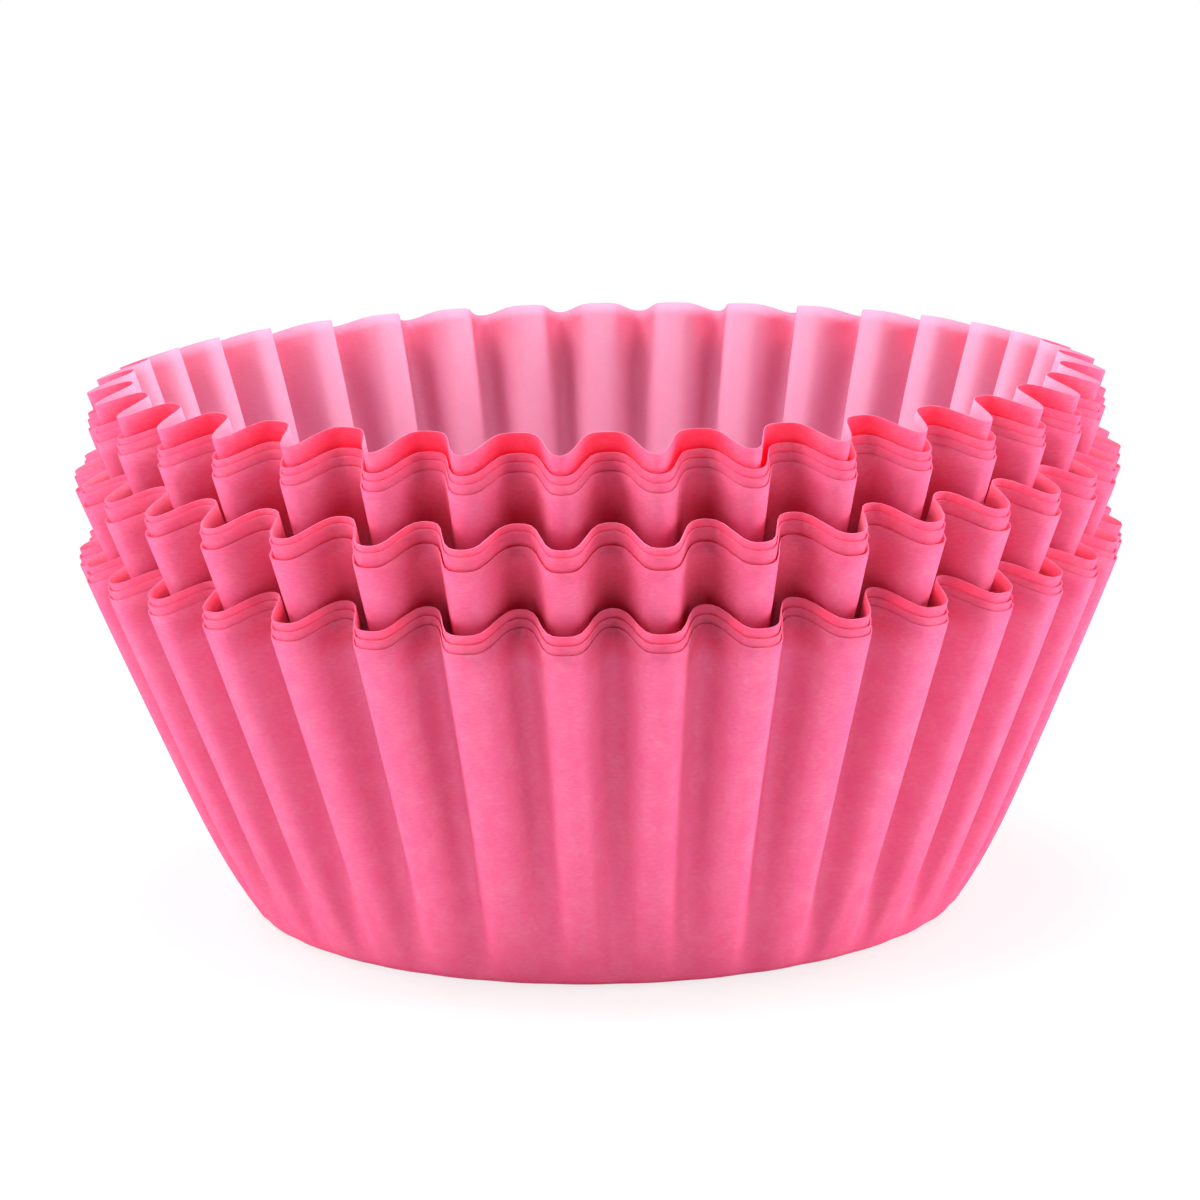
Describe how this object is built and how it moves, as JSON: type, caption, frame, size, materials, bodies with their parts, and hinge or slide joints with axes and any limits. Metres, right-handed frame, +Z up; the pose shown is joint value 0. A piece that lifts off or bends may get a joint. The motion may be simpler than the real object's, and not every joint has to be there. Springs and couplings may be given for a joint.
{
  "type": "stack of cupcake liners",
  "caption": "Stack of pleated paper cupcake liners: flat-floored flared cups with even flutes and scalloped rims, nested in loose bundles.",
  "frame": {"origin": "centre of the underside of the lowest liner's floor, where the stack stands", "axes": "+Z up out of the liners' mouths, -Y the front"},
  "size_m": [0.0725, 0.0722, 0.038],
  "materials": {
    "pink_paper": "matte"
  },
  "bodies": {
    "root": {"liner_01": "pink_paper", "liner_02": "pink_paper", "liner_03": "pink_paper", "liner_04": "pink_paper", "liner_05": "pink_paper", "liner_06": "pink_paper", "liner_07": "pink_paper", "liner_08": "pink_paper", "liner_09": "pink_paper", "liner_10": "pink_paper"}
  },
  "joints": []
}
